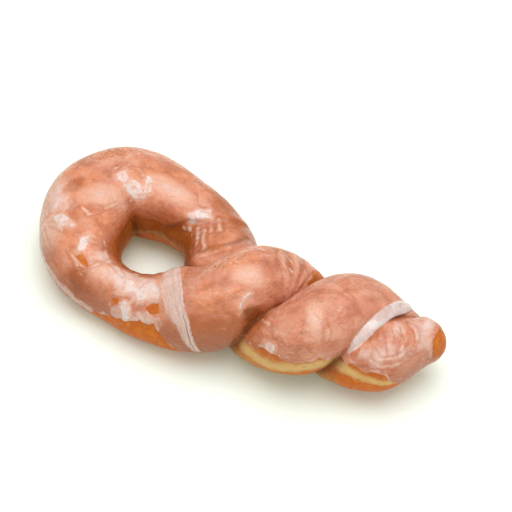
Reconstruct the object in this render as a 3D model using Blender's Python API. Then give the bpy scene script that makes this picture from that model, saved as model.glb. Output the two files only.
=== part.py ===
"""A twisted cruller doughnut: one rope of yeast dough, folded in half with the fold left open as a loop and the two
arms wound round each other, then fried until the strands have grown together. Metres, +Z up, +X from loop to tip."""

import math

import bmesh
import bpy
import numpy as np

MM = 0.001

# The strand in the twist: how wide and how high its section is, and how square its shoulders are
STRAND_WIDTH = 29 * MM
STRAND_HEIGHT = 29 * MM
SHOULDER_POWER = 2.15
# How far the frying pressed the soft underside flat
FLAT_DEPTH = 1.5 * MM

# The twist: two arms half a turn apart on a flattened helix along +X
TWIST_START = -7.5 * MM
HALF_TURN = 38.5 * MM
TWIST_MIDDLE_Y = -13 * MM
SWING_SIDEWAYS = 12 * MM
SWING_UP = 7 * MM
# Both arms leave the loop this much fuller, and slim down over the first half turn
START_SWELL = 0.15
# An arm is fuller where it lies on top and squeezed where it passes beneath: by this share, this angle later
TOP_SWELL = 0.08
SWELL_DELAY = math.radians(30)
# Each crossing leans: the near side of a turn lies this share of its offset further along than the far side
LEAN = 0.42

# The tail: past TAIL_START the turns draw in and bend away from the near side, down to the pinched tip
TAIL_START = 44 * MM
TAIL_END = 92 * MM
TAIL_BEND = 13 * MM
TAIL_SINK = 3 * MM
TAIL_SWING_LEFT = 0.35
TAIL_LEAN = 0.8
OVER_ARM_END = 86.5 * MM
UNDER_ARM_END = 81 * MM
OVER_ARM_TAPER = 16 * MM
UNDER_ARM_TAPER = 16 * MM
OVER_ARM_TIP = 0.57
UNDER_ARM_TIP = 0.7

# The open loop, from the near arm round its far left to the far arm: x, y, width and height of the strand in mm
LOOP_STATIONS = (
    (-14.0, -25.0, 36.0, 32.0),
    (-28.0, -28.4, 28.8, 28.0),
    (-44.0, -27.0, 24.0, 27.0),
    (-57.6, -22.8, 28.8, 29.0),
    (-69.2, -11.7, 37.0, 33.0),
    (-75.4, 3.3, 42.5, 35.0),
    (-77.0, 17.6, 43.0, 35.0),
    (-68.0, 27.6, 42.0, 35.0),
    (-53.8, 29.0, 39.5, 34.0),
    (-40.3, 27.4, 35.0, 32.0),
    (-28.2, 24.0, 31.0, 30.0),
    (-14.6, 15.0, 31.5, 29.0),
)

# How finely the surface is faceted
RINGS = 122
SIDES = 34
CAP_RINGS = 4
# A ring faces along the chord between the rings this many steps either side, so that rings in a bend stay apart
CHORD = 4


def ease(value, start, end):
    """A smooth step from 0 at start to 1 at end."""
    share = np.clip((value - start) / (end - start), 0.0, 1.0)
    return share * share * (3 - 2 * share)


def twist_station(x, half_turns_ahead, arm_end, taper, tip):
    """Middle, width and height of one arm in the twist: a helix flattened sideways, tapering to its tip."""
    angle = math.pi * ((x - TWIST_START) / HALF_TURN + half_turns_ahead)
    tail = ease(x, TAIL_START, TAIL_END)
    swing = 1 - (1 - TAIL_SWING_LEFT) * tail
    lean = LEAN + (TAIL_LEAN - LEAN) * tail
    sideways = -SWING_SIDEWAYS * swing * math.cos(angle)
    resting_height = SWING_UP + STRAND_HEIGHT / 2 - FLAT_DEPTH
    girth = 1 + START_SWELL * (1 - ease(x, TWIST_START, TWIST_START + HALF_TURN))
    girth += TOP_SWELL * math.sin(angle - SWELL_DELAY)
    girth -= (1 - tip) * ease(x, arm_end - taper, arm_end)
    return (
        x - lean * sideways,
        TWIST_MIDDLE_Y + TAIL_BEND * tail + sideways,
        resting_height - TAIL_SINK * tail + SWING_UP * swing * math.sin(angle),
        STRAND_WIDTH * girth,
        STRAND_HEIGHT * girth,
    )


def arm_stations(half_turns_ahead, arm_end, taper, tip):
    """Stations every eighth of a turn, from the start of the twist to the arm's tip."""
    step = HALF_TURN / 4
    count = int((arm_end - TWIST_START) / step)
    places = [TWIST_START + step * (i + 1) for i in range(count)]
    if arm_end - places[-1] > step / 3:
        places.append(arm_end)
    return [twist_station(x, half_turns_ahead, arm_end, taper, tip) for x in places]


def rope_stations():
    """The whole rope: tip of the over arm, back through the twist, round the loop, and out along the under arm."""
    over = arm_stations(0, OVER_ARM_END, OVER_ARM_TAPER, OVER_ARM_TIP)
    under = arm_stations(1, UNDER_ARM_END, UNDER_ARM_TAPER, UNDER_ARM_TIP)
    loop = [
        (x * MM, y * MM, high * MM / 2 - FLAT_DEPTH, wide * MM, high * MM)
        for x, y, wide, high in LOOP_STATIONS
    ]
    return np.array(over[::-1] + loop + under)


def smooth_through(stations, count):
    """A natural cubic spline through the stations, read at count places evenly spaced along it."""
    gaps = np.linalg.norm(np.diff(stations[:, :3], axis=0), axis=1)
    knots = np.concatenate(([0.0], np.cumsum(gaps)))
    slopes = np.diff(stations, axis=0) / gaps[:, None]
    system = np.eye(len(stations))
    bends = np.zeros_like(stations)
    for i in range(1, len(stations) - 1):
        system[i, i - 1 : i + 2] = gaps[i - 1], 2 * (gaps[i - 1] + gaps[i]), gaps[i]
        bends[i] = 3 * (slopes[i] - slopes[i - 1])
    bends = np.linalg.solve(system, bends)
    places = np.linspace(0.0, knots[-1], count)
    left = np.clip(np.searchsorted(knots, places, side="right") - 1, 0, len(gaps) - 1)
    along = (places - knots[left])[:, None]
    gap = gaps[left][:, None]
    first = slopes[left] - gap * (2 * bends[left] + bends[left + 1]) / 3
    third = (bends[left + 1] - bends[left]) / (3 * gap)
    return stations[left] + along * (first + along * (bends[left] + along * third))


def unit(vectors):
    return vectors / np.linalg.norm(vectors, axis=-1, keepdims=True)


def rope_rings():
    """Centres, side and up half-axes of every ring of the surface, with rounded ends."""
    rope = smooth_through(rope_stations(), RINGS)
    centres = rope[:, :3]
    places = np.arange(RINGS)
    after = np.minimum(places + CHORD, RINGS - 1)
    before = np.maximum(places - CHORD, 0)
    ahead = unit(centres[after] - centres[before])
    side = unit(np.cross(ahead, (0.0, 0.0, 1.0)))
    half_wide = side * rope[:, 3:4] / 2
    half_high = np.cross(side, ahead) * rope[:, 4:5] / 2
    rings = list(zip(centres, half_wide, half_high))
    for end, way in ((0, -1), (-1, 1)):
        reach = way * ahead[end] * rope[end, 3] / 2
        for i in range(1, CAP_RINGS + 1):
            turn = math.radians(90) * i / (CAP_RINGS + 1)
            cap = (
                centres[end] + reach * math.sin(turn),
                half_wide[end] * math.cos(turn),
                half_high[end] * math.cos(turn),
            )
            rings.insert(0, cap) if way < 0 else rings.append(cap)
    poles = [centres[0] - ahead[0] * rope[0, 3] / 2, centres[-1] + ahead[-1] * rope[-1, 3] / 2]
    return rings, poles


def rope_surface():
    """The rope's skin before its strands have grown together: a rounded section carried along the path."""
    rings, poles = rope_rings()
    turn = np.linspace(0.0, 2 * np.pi, SIDES, endpoint=False)
    across = np.sign(np.cos(turn)) * np.abs(np.cos(turn)) ** (2 / SHOULDER_POWER)
    upward = np.sign(np.sin(turn)) * np.abs(np.sin(turn)) ** (2 / SHOULDER_POWER)
    points = [
        centre + a * wide + u * high
        for centre, wide, high in rings
        for a, u in zip(across, upward)
    ]
    faces = [
        (r * SIDES + s, (r + 1) * SIDES + s, (r + 1) * SIDES + (s + 1) % SIDES, r * SIDES + (s + 1) % SIDES)
        for r in range(len(rings) - 1)
        for s in range(SIDES)
    ]
    first_pole = len(points)
    last_ring = (len(rings) - 1) * SIDES
    faces += [(s, (s + 1) % SIDES, first_pole) for s in range(SIDES)]
    faces += [(last_ring + (s + 1) % SIDES, last_ring + s, first_pole + 1) for s in range(SIDES)]
    mesh = bpy.data.meshes.new("dough")
    mesh.from_pydata([tuple(p) for p in points + poles], [], faces)
    return mesh


def floor_cutter():
    """A slab below the resting plane, which presses the underside flat."""
    bpy.ops.mesh.primitive_cube_add(size=1)
    slab = bpy.context.object
    slab.name = "floor_slab"
    slab.scale = (400 * MM, 300 * MM, 40 * MM)
    slab.location = (0, 0, -20 * MM)
    slab.hide_render = True
    slab.display_type = "WIRE"
    return slab


def grown_together(rope, slab):
    """The rope's mesh with its crossing strands joined into one body and its underside cut flat."""
    press = rope.modifiers.new("press flat", "BOOLEAN")
    press.operation = "DIFFERENCE"
    press.object = slab
    press.use_self = True
    bpy.context.view_layer.update()
    graph = bpy.context.evaluated_depsgraph_get()
    mesh = bpy.data.meshes.new_from_object(rope.evaluated_get(graph))
    rope.modifiers.clear()
    return mesh


def fill_sealed_hollows(mesh):
    """Keeps the outer skin alone: the shells of the small hollows shut in between the strands are dropped."""
    shells = bmesh.new()
    shells.from_mesh(mesh)
    unseen = set(shells.faces)
    outer, inner = [], []
    while unseen:
        shell, edge_of_search = [], [unseen.pop()]
        while edge_of_search:
            face = edge_of_search.pop()
            shell.append(face)
            near = {other for edge in face.edges for other in edge.link_faces} & unseen
            unseen -= near
            edge_of_search += near
        if len(shell) > len(outer):
            outer, shell = shell, outer
        inner += shell
    bmesh.ops.delete(shells, geom=inner, context="FACES")
    shells.to_mesh(mesh)
    shells.free()


def centre_on_base(mesh):
    """Moves the mesh so that the middle of its box's underside is the origin."""
    points = np.empty(len(mesh.vertices) * 3, np.float32)
    mesh.vertices.foreach_get("co", points)
    points = points.reshape(-1, 3)
    low, high = points.min(axis=0), points.max(axis=0)
    points -= ((low[0] + high[0]) / 2, (low[1] + high[1]) / 2, low[2])
    mesh.vertices.foreach_set("co", points.ravel())
    mesh.update()


def dough_material():
    material = bpy.data.materials.new("glazed dough")
    material.use_nodes = True
    shader = material.node_tree.nodes["Principled BSDF"]
    shader.inputs["Base Color"].default_value = (0.56, 0.26, 0.15, 1.0)
    shader.inputs["Roughness"].default_value = 0.3
    shader.inputs["Metallic"].default_value = 0.0
    return material


def main():
    for obj in list(bpy.data.objects):
        bpy.data.objects.remove(obj)
    rope = bpy.data.objects.new("cruller", rope_surface())
    bpy.context.scene.collection.objects.link(rope)
    slab = floor_cutter()
    rope.data = grown_together(rope, slab)
    bpy.data.objects.remove(slab)
    fill_sealed_hollows(rope.data)
    centre_on_base(rope.data)
    rope.data.materials.clear()
    rope.data.materials.append(dough_material())
    rope.data.shade_smooth()
    rope.data.set_sharp_from_angle(angle=math.radians(40))


if __name__ == "__main__":
    main()
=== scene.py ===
"""A glazed cruller doughnut: one rope of yeast dough, folded, twisted, fried and dipped in sugar glaze."""

import math

import bpy
import numpy as np
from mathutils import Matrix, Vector


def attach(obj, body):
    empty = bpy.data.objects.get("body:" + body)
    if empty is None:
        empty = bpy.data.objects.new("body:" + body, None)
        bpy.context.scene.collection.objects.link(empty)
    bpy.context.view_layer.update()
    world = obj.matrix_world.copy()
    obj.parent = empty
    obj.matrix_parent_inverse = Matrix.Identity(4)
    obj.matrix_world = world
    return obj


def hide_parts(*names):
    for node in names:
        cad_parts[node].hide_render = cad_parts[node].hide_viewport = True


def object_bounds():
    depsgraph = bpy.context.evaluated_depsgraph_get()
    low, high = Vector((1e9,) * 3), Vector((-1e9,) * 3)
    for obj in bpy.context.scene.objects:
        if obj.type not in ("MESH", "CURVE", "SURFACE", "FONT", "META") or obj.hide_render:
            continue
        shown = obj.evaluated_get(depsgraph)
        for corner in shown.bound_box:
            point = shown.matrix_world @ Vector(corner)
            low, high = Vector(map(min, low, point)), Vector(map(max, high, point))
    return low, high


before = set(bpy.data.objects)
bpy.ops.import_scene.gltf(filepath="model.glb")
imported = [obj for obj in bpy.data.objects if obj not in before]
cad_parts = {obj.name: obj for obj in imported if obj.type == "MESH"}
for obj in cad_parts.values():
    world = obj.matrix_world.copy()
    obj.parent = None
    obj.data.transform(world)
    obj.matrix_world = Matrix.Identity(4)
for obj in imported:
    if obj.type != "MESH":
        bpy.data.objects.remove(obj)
cad_low, cad_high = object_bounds()
MM = 0.001

# The fried dough
# One rope of yeast dough, its two arms wound round each other and grown together where they touched.
# The same path and section as the solid, in mm, but finer, fused, and made uneven as proofed dough is.
STRAND_WIDTH = 29
STRAND_HEIGHT = 29
SHOULDER_POWER = 2.15
FLAT_DEPTH = 1.5
TWIST_START = -7.5
HALF_TURN = 38.5
TWIST_MIDDLE_Y = -13
SWING_SIDEWAYS = 12
SWING_UP = 7
START_SWELL = 0.15
TOP_SWELL = 0.08
SWELL_DELAY = math.radians(30)
LEAN = 0.42
TAIL_START = 44
TAIL_END = 92
TAIL_BEND = 13
TAIL_SINK = 3
TAIL_SWING_LEFT = 0.35
TAIL_LEAN = 0.8
# Each arm: the half turns it starts ahead, where it ends, its taper's length, and the share left at its tip
OVER_ARM = (0, 86.5, 16, 0.57)
UNDER_ARM = (1, 81, 16, 0.70)
# The open loop, from the near arm round its far left to the far arm: x, y, width and height of the strand
LOOP_STATIONS = (
    (-14, -25, 36, 32),
    (-28, -28.4, 28.8, 28),
    (-44, -27, 24, 27),
    (-57.6, -22.8, 28.8, 29),
    (-69.2, -11.7, 37, 33),
    (-75.4, 3.3, 42.5, 35),
    (-77, 17.6, 43, 35),
    (-68, 27.6, 42, 35),
    (-53.8, 29, 39.5, 34),
    (-40.3, 27.4, 35, 32),
    (-28.2, 24, 31, 30),
    (-14.6, 15, 31.5, 29),
)
# The skin's rings, sides and end rings, and the share of the rope over which a ring's direction is taken
RINGS = 560
SIDES = 150
CAP_RINGS = 24
CHORD_SHARE = 4 / 121
VOXEL = 0.74
# Rings further apart than this along the rope belong to different strands
STRAND_APART = 42
# The middle of the loop's hole
HOLE_MIDDLE = np.array((-39, -5, 15))


def ease(value, start, end):
    """A smooth step from 0 at start to 1 at end."""
    share = np.clip((value - start) / (end - start), 0, 1)
    return share * share * (3 - 2 * share)


def arm_stations(half_turns_ahead, arm_end, taper, tip):
    """One arm of the twist every eighth of a turn: a helix flattened sideways, slimming down to its tip."""
    x = np.arange(TWIST_START + HALF_TURN / 4, arm_end, HALF_TURN / 4)
    if arm_end - x[-1] > HALF_TURN / 12:
        x = np.append(x, arm_end)
    angle = math.pi * ((x - TWIST_START) / HALF_TURN + half_turns_ahead)
    tail = ease(x, TAIL_START, TAIL_END)
    swing = 1 - (1 - TAIL_SWING_LEFT) * tail
    sideways = -SWING_SIDEWAYS * swing * np.cos(angle)
    girth = 1 + START_SWELL * (1 - ease(x, TWIST_START, TWIST_START + HALF_TURN))
    girth += TOP_SWELL * np.sin(angle - SWELL_DELAY)
    girth -= (1 - tip) * ease(x, arm_end - taper, arm_end)
    return np.column_stack((
        x - (LEAN + (TAIL_LEAN - LEAN) * tail) * sideways,
        TWIST_MIDDLE_Y + TAIL_BEND * tail + sideways,
        SWING_UP + STRAND_HEIGHT / 2 - FLAT_DEPTH - TAIL_SINK * tail + SWING_UP * swing * np.sin(angle),
        STRAND_WIDTH * girth,
        STRAND_HEIGHT * girth,
    ))


def smooth_through(stations, count):
    """A natural cubic spline through the stations, read at count places evenly spaced along it."""
    gaps = np.linalg.norm(np.diff(stations[:, :3], axis=0), axis=1)
    knots = np.concatenate(([0], np.cumsum(gaps)))
    slopes = np.diff(stations, axis=0) / gaps[:, None]
    inner = np.arange(1, len(stations) - 1)
    system = np.eye(len(stations))
    system[inner, inner - 1] = gaps[:-1]
    system[inner, inner] = 2 * (gaps[:-1] + gaps[1:])
    system[inner, inner + 1] = gaps[1:]
    bends = np.zeros_like(stations)
    bends[inner] = 3 * np.diff(slopes, axis=0)
    bends = np.linalg.solve(system, bends)
    places = np.linspace(0, knots[-1], count)
    left = np.clip(np.searchsorted(knots, places, side="right") - 1, 0, len(gaps) - 1)
    along = (places - knots[left])[:, None]
    gap = gaps[left][:, None]
    first = slopes[left] - gap * (2 * bends[left] + bends[left + 1]) / 3
    third = (bends[left + 1] - bends[left]) / (3 * gap)
    return stations[left] + along * (first + along * (bends[left] + along * third)), places


def unit(vectors):
    return vectors / np.maximum(np.linalg.norm(vectors, axis=-1, keepdims=True), 1e-9)


def rope_rings():
    """Middle, direction, side and upward half-axes of every ring of the rope, and its place along it."""
    loop = np.array(LOOP_STATIONS)
    loop = np.column_stack((loop[:, :2], loop[:, 3] / 2 - FLAT_DEPTH, loop[:, 2:]))
    stations = np.vstack((arm_stations(*OVER_ARM)[::-1], loop, arm_stations(*UNDER_ARM)))
    rope, places = smooth_through(stations, RINGS)
    steps = np.arange(RINGS)
    chord = round(CHORD_SHARE * (RINGS - 1))
    after = np.minimum(steps + chord, RINGS - 1)
    before = np.maximum(steps - chord, 0)
    ahead = unit(rope[after, :3] - rope[before, :3])
    side = unit(np.cross(ahead, (0, 0, 1)))
    return rope[:, :3], ahead, side * rope[:, 3:4] / 2, np.cross(side, ahead) * rope[:, 4:5] / 2, places


def capped(middles, ahead, wide, high):
    """The rings with a rounded end at both tips: rings that shrink as a quarter circle as they move out."""
    turn = np.radians(90) * np.arange(1, CAP_RINGS + 1) / (CAP_RINGS + 1)
    ends = []
    for end, way in ((0, -1), (-1, 1)):
        reach = way * ahead[end] * np.linalg.norm(wide[end])
        ends.append((
            middles[end] + np.sin(turn)[:, None] * reach,
            np.cos(turn)[:, None] * wide[end],
            np.cos(turn)[:, None] * high[end],
            middles[end] + reach,
        ))
    first, last = ends
    rings = [np.vstack((first[i][::-1], own, last[i])) for i, own in enumerate((middles, wide, high))]
    return rings, np.array((first[3], last[3]))


def tube_faces(rings, sides):
    """Four-sided faces between the rings of a tube, and a fan of three-sided ones to a pole at either end."""
    ring, side = np.meshgrid(np.arange(rings - 1), np.arange(sides), indexing="ij")
    here, beside = ring * sides + side, ring * sides + (side + 1) % sides
    quads = np.stack((here, here + sides, beside + sides, beside), axis=-1).reshape(-1, 4)
    rim = np.arange(sides)
    last, end = (rings - 1) * sides, rings * sides
    first_fan = np.column_stack((rim, (rim + 1) % sides, np.full(sides, end)))
    last_fan = np.column_stack((last + (rim + 1) % sides, last + rim, np.full(sides, end + 1)))
    return quads.tolist() + first_fan.tolist() + last_fan.tolist()


def rope_skin(middles, ahead, wide, high):
    """Points and faces of the rope's skin: a superellipse carried along the rings, closed at two poles."""
    (middles, wide, high), poles = capped(middles, ahead, wide, high)
    turn = np.linspace(0, 2 * np.pi, SIDES, endpoint=False)
    across = np.sign(np.cos(turn)) * np.abs(np.cos(turn)) ** (2 / SHOULDER_POWER)
    upward = np.sign(np.sin(turn)) * np.abs(np.sin(turn)) ** (2 / SHOULDER_POWER)
    points = (
        middles[:, None]
        + across[None, :, None] * wide[:, None]
        + upward[None, :, None] * high[:, None]
    )
    return np.vstack((points.reshape(-1, 3), poles)), tube_faces(len(middles), SIDES)


def fused(points, faces):
    """The skin with its overlapping strands fused by a voxel remesh: points in mm and four-sided faces."""
    mesh = bpy.data.meshes.new("skin")
    mesh.from_pydata((points * MM).tolist(), [], faces)
    skin = bpy.data.objects.new("skin", mesh)
    bpy.context.scene.collection.objects.link(skin)
    remesh = skin.modifiers.new("fuse", "REMESH")
    remesh.mode = "VOXEL"
    remesh.voxel_size = VOXEL * MM
    made = skin.evaluated_get(bpy.context.evaluated_depsgraph_get()).to_mesh()
    fine = np.empty(len(made.vertices) * 3, np.float32)
    made.vertices.foreach_get("co", fine)
    corners = np.empty(len(made.loops), np.int32)
    made.loops.foreach_get("vertex_index", corners)
    bpy.data.objects.remove(skin)
    bpy.data.meshes.remove(mesh)
    return fine.reshape(-1, 3).astype(float) / MM, corners.reshape(-1, 4)


def edges_of(faces):
    """Every edge once, as pairs of point numbers."""
    pairs = np.stack((faces, np.roll(faces, -1, axis=1)), axis=-1).reshape(-1, 2)
    return np.unique(np.sort(pairs, axis=1), axis=0)


def outer_shell(points, faces):
    """Keeps the largest connected shell: each point takes the lowest label next to it until none changes."""
    pairs = edges_of(faces)
    label = np.arange(len(points))
    while True:
        lowest = np.minimum(label[pairs[:, 0]], label[pairs[:, 1]])
        spread = label.copy()
        np.minimum.at(spread, label[pairs[:, 0]], lowest)
        np.minimum.at(spread, label[pairs[:, 1]], lowest)
        spread = spread[spread]
        if np.array_equal(spread, label):
            break
        label = spread
    kept = label == np.bincount(label).argmax()
    renumber = np.cumsum(kept) - 1
    return points[kept], renumber[faces[kept[faces[:, 0]]]]


def settled(values, pairs, rounds):
    """Each point's values moved half-way to the mean of its neighbours, round after round."""
    both = np.concatenate((pairs[:, 0], pairs[:, 1]))
    other = np.concatenate((pairs[:, 1], pairs[:, 0]))
    degree = np.bincount(both, minlength=len(values))
    values = values.reshape(len(values), -1)
    for _ in range(rounds):
        mean = np.column_stack([np.bincount(both, column[other], len(values)) for column in values.T])
        values = values + 0.5 * (mean / degree[:, None] - values)
    return values if values.shape[1] > 1 else values[:, 0]


def normals_of(points, faces):
    """Unit normals at the points: cross products of the diagonals of the faces that meet there, summed."""
    corner = points[faces]
    across = np.cross(corner[:, 2] - corner[:, 0], corner[:, 3] - corner[:, 1])
    total = [np.bincount(faces.ravel(), np.repeat(across[:, axis], 4), len(points)) for axis in range(3)]
    return unit(np.column_stack(total))


def along_the_rope(points, middles, ahead, wide, high, places):
    """Each point's place along the rope in mm, its turn round it, and its distance to the next strand."""
    place, turn, gap = np.empty((3, len(points)))
    wide_axis = wide / np.sum(wide * wide, axis=1)[:, None]
    high_axis = high / np.sum(high * high, axis=1)[:, None]
    girth = np.linalg.norm(wide, axis=1)
    for part in np.array_split(np.arange(len(points)), 24):
        own = points[part]
        across = own @ wide_axis.T - np.sum(middles * wide_axis, axis=1)
        upward = own @ high_axis.T - np.sum(middles * high_axis, axis=1)
        past = own @ ahead.T - np.sum(middles * ahead, axis=1)
        off = (np.hypot(across, upward) - 1) * girth
        score = off * off + past * past
        nearest = np.argmin(score, axis=1)
        row = np.arange(len(part))
        place[part] = places[nearest] + past[row, nearest]
        turn[part] = np.arctan2(upward[row, nearest], across[row, nearest])
        same_strand = np.abs(places[None, :] - place[part][:, None]) < STRAND_APART
        gap[part] = np.sqrt(np.min(np.where(same_strand, np.inf, score), axis=1))
    return place, turn, gap


def lattice_noise(points, cell, seed):
    """Smooth noise from -1 to 1: random values on a cubic lattice of that cell, blended between corners."""
    values = np.random.default_rng(seed).uniform(-1, 1, (32, 32, 32))
    place = points / cell
    base = np.floor(place).astype(int)
    share = place - base
    share = share * share * (3 - 2 * share)
    total = np.zeros(len(points))
    for corner in np.ndindex(2, 2, 2):
        at = (base + corner) % 32
        weight = np.prod(np.where(corner, share, 1 - share), axis=1)
        total += weight * values[at[:, 0], at[:, 1], at[:, 2]]
    return total


def spot(points, middle, long, short, heading=0):
    """A hill of 1 at its middle that falls to 0 at an ellipse of those half-lengths, turned to a heading."""
    away = points - np.array(middle)
    turned = math.radians(heading)
    along = away[:, 0] * math.cos(turned) + away[:, 1] * math.sin(turned)
    across = away[:, 1] * math.cos(turned) - away[:, 0] * math.sin(turned)
    return 1 - np.sqrt((along / long) ** 2 + (across / short) ** 2 + (away[:, 2] / (0.8 * long + 2)) ** 2)


def highest(points, spots):
    """The highest of several spots' hills at each point."""
    return np.max([spot(points, *one) for one in spots], axis=0)


middles, ahead, wide, high, places = rope_rings()
skin_points, skin_faces = rope_skin(middles, ahead, wide, high)
above_floor = skin_points[skin_points[:, 2] > 0]
plan_shift = (np.array(cad_low + cad_high) / MM - above_floor.min(axis=0) - above_floor.max(axis=0)) / 2
plan_shift[2] = 0
middles = middles + plan_shift
points, faces = fused(skin_points + plan_shift, skin_faces)
points, faces = outer_shell(points, faces)
pairs = edges_of(faces)
points = settled(points, pairs, 2)
normals = normals_of(points, faces)
place, turn, gap = along_the_rope(points, middles, ahead, wide, high, places)

# Relief of the fried dough: broad swells, a groove where strands meet with the dough puffed up beside it, and
# fold ripples across the strand where the twist squeezed it
BROAD_SWELL = 0.7
SMALL_SWELL = 0.18
GROOVE_DEPTH = 0.8
GROOVE_HALF = 1.1
PUFF_HEIGHT = 0.55
RIPPLES = (
    # middle, half-length, half-width, heading, then ripple spacing and depth
    ((29, -3, 35), 20, 13, 40, 4.2, 0.32),
    ((-24, 8, 22), 11, 8, 20, 4.4, 0.10),
    ((79, -18, 29), 12, 9, 10, 2.8, 0.24),
    ((-8, 12, 26), 10, 6, 0, 4.2, 0.10),
)
# The ledge along the far arm, where its upper skin slid over the inner side: the y of its line at each x
LEDGE_X = (-44, -40.3, -33.2, -28, -22.4, -16.3, -11, -5)
LEDGE_Y = (7.2, 7.9, 9, 11.6, 12.4, 14.2, 18, 22)
LEDGE_STEP = 0.7
# Half the width of a typical strand, which turns angles round it into mm
STRAND_RADIUS = 14
x, y, z = points.T
to_hole = HOLE_MIDDLE - points
facing_hole = np.sum(unit(to_hole * (1, 1, 0)) * normals, axis=1)
hole_distance = np.hypot(to_hole[:, 0], to_hole[:, 1])
inner_wall = ease(facing_hole, 0.1, 0.7) * ease(-hole_distance, -34, -26)
relief = BROAD_SWELL * lattice_noise(points, 19, 1) + SMALL_SWELL * lattice_noise(points, 6.5, 2)
ridge = np.zeros(len(points))
wandering = place + 1.8 * lattice_noise(points, 8, 5)
uneven = 0.75 + 0.6 * lattice_noise(points, 5, 8)
for middle, long, short, heading, spacing, depth in RIPPLES:
    wave = np.sin(2 * np.pi * wandering / spacing) * uneven
    shown = ease(spot(points, middle, long, short, heading), 0, 0.5)
    relief += depth * wave * shown
    ridge += 3 * depth * wave * shown
relief += PUFF_HEIGHT * np.exp(-((gap - 5.5) / 3.2) ** 2) - GROOVE_DEPTH * np.exp(-(gap / GROOVE_HALF) ** 2)
past_ledge = y - np.interp(x, LEDGE_X, LEDGE_Y) + 0.5 * lattice_noise(points, 2.5, 6)
on_ledge = ease(x, -44, -36) * ease(-x, 2, 8) * ease(z, 16, 20)
relief += on_ledge * LEDGE_STEP * (ease(past_ledge, -0.7, 0.7) * np.exp(-((past_ledge - 1) / 5) ** 2))
relief -= on_ledge * LEDGE_STEP * (ease(-past_ledge, -0.7, 0.7) * np.exp(-((past_ledge + 1) / 6) ** 2))
strand_frame = np.column_stack((place, STRAND_RADIUS * turn, np.zeros(len(points))))
pleats = lattice_noise(strand_frame * (1, 0.15, 1), 2.2, 7)
relief += 0.22 * on_ledge * pleats * ease(-past_ledge, 0, 1.5) * np.exp(-(past_ledge / 9) ** 2)
relief += 0.16 * inner_wall * lattice_noise(strand_frame * (1, 0.3, 1), 1.9, 3)
relief *= ease(z, 0, 3)
points = points + normals * relief[:, None]
points[:, 2] = np.maximum(points[:, 2], 0)
normals = normals_of(points, faces)
x, y, z = points.T
# How close each point is to the line where two strands meet, from 0 to 1
crease = np.exp(-(gap / 2.8) ** 2)


def placed(name, mesh):
    """A smooth-shaded object of a mesh, at the origin."""
    mesh.shade_smooth()
    made = bpy.data.objects.new(name, mesh)
    bpy.context.scene.collection.objects.link(made)
    return made


def mesh_piece(name, points, faces, attributes):
    """An object from points in mm and faces, with float attributes at its points."""
    mesh = bpy.data.meshes.new(name)
    mesh.vertices.add(len(points))
    mesh.vertices.foreach_set("co", (points * MM).astype(np.float32).ravel())
    mesh.loops.add(faces.size)
    mesh.loops.foreach_set("vertex_index", faces.astype(np.int32).ravel())
    mesh.polygons.add(len(faces))
    mesh.polygons.foreach_set("loop_start", np.arange(0, faces.size, faces.shape[1], dtype=np.int32))
    mesh.update(calc_edges=True)
    mesh.validate()
    for label, values in attributes.items():
        layer = mesh.attributes.new(label, "FLOAT", "POINT")
        layer.data.foreach_set("value", values.astype(np.float32))
    return placed(name, mesh)


def node(tree, kind, inputs=None, **settings):
    """A node of that kind; inputs gives its sockets values, or the sockets that feed them."""
    made = tree.nodes.new(kind)
    for name, value in settings.items():
        setattr(made, name, value)
    for name, value in (inputs or {}).items():
        if isinstance(value, bpy.types.NodeSocket):
            tree.links.new(value, made.inputs[name])
        else:
            made.inputs[name].default_value = value
    return made


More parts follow.
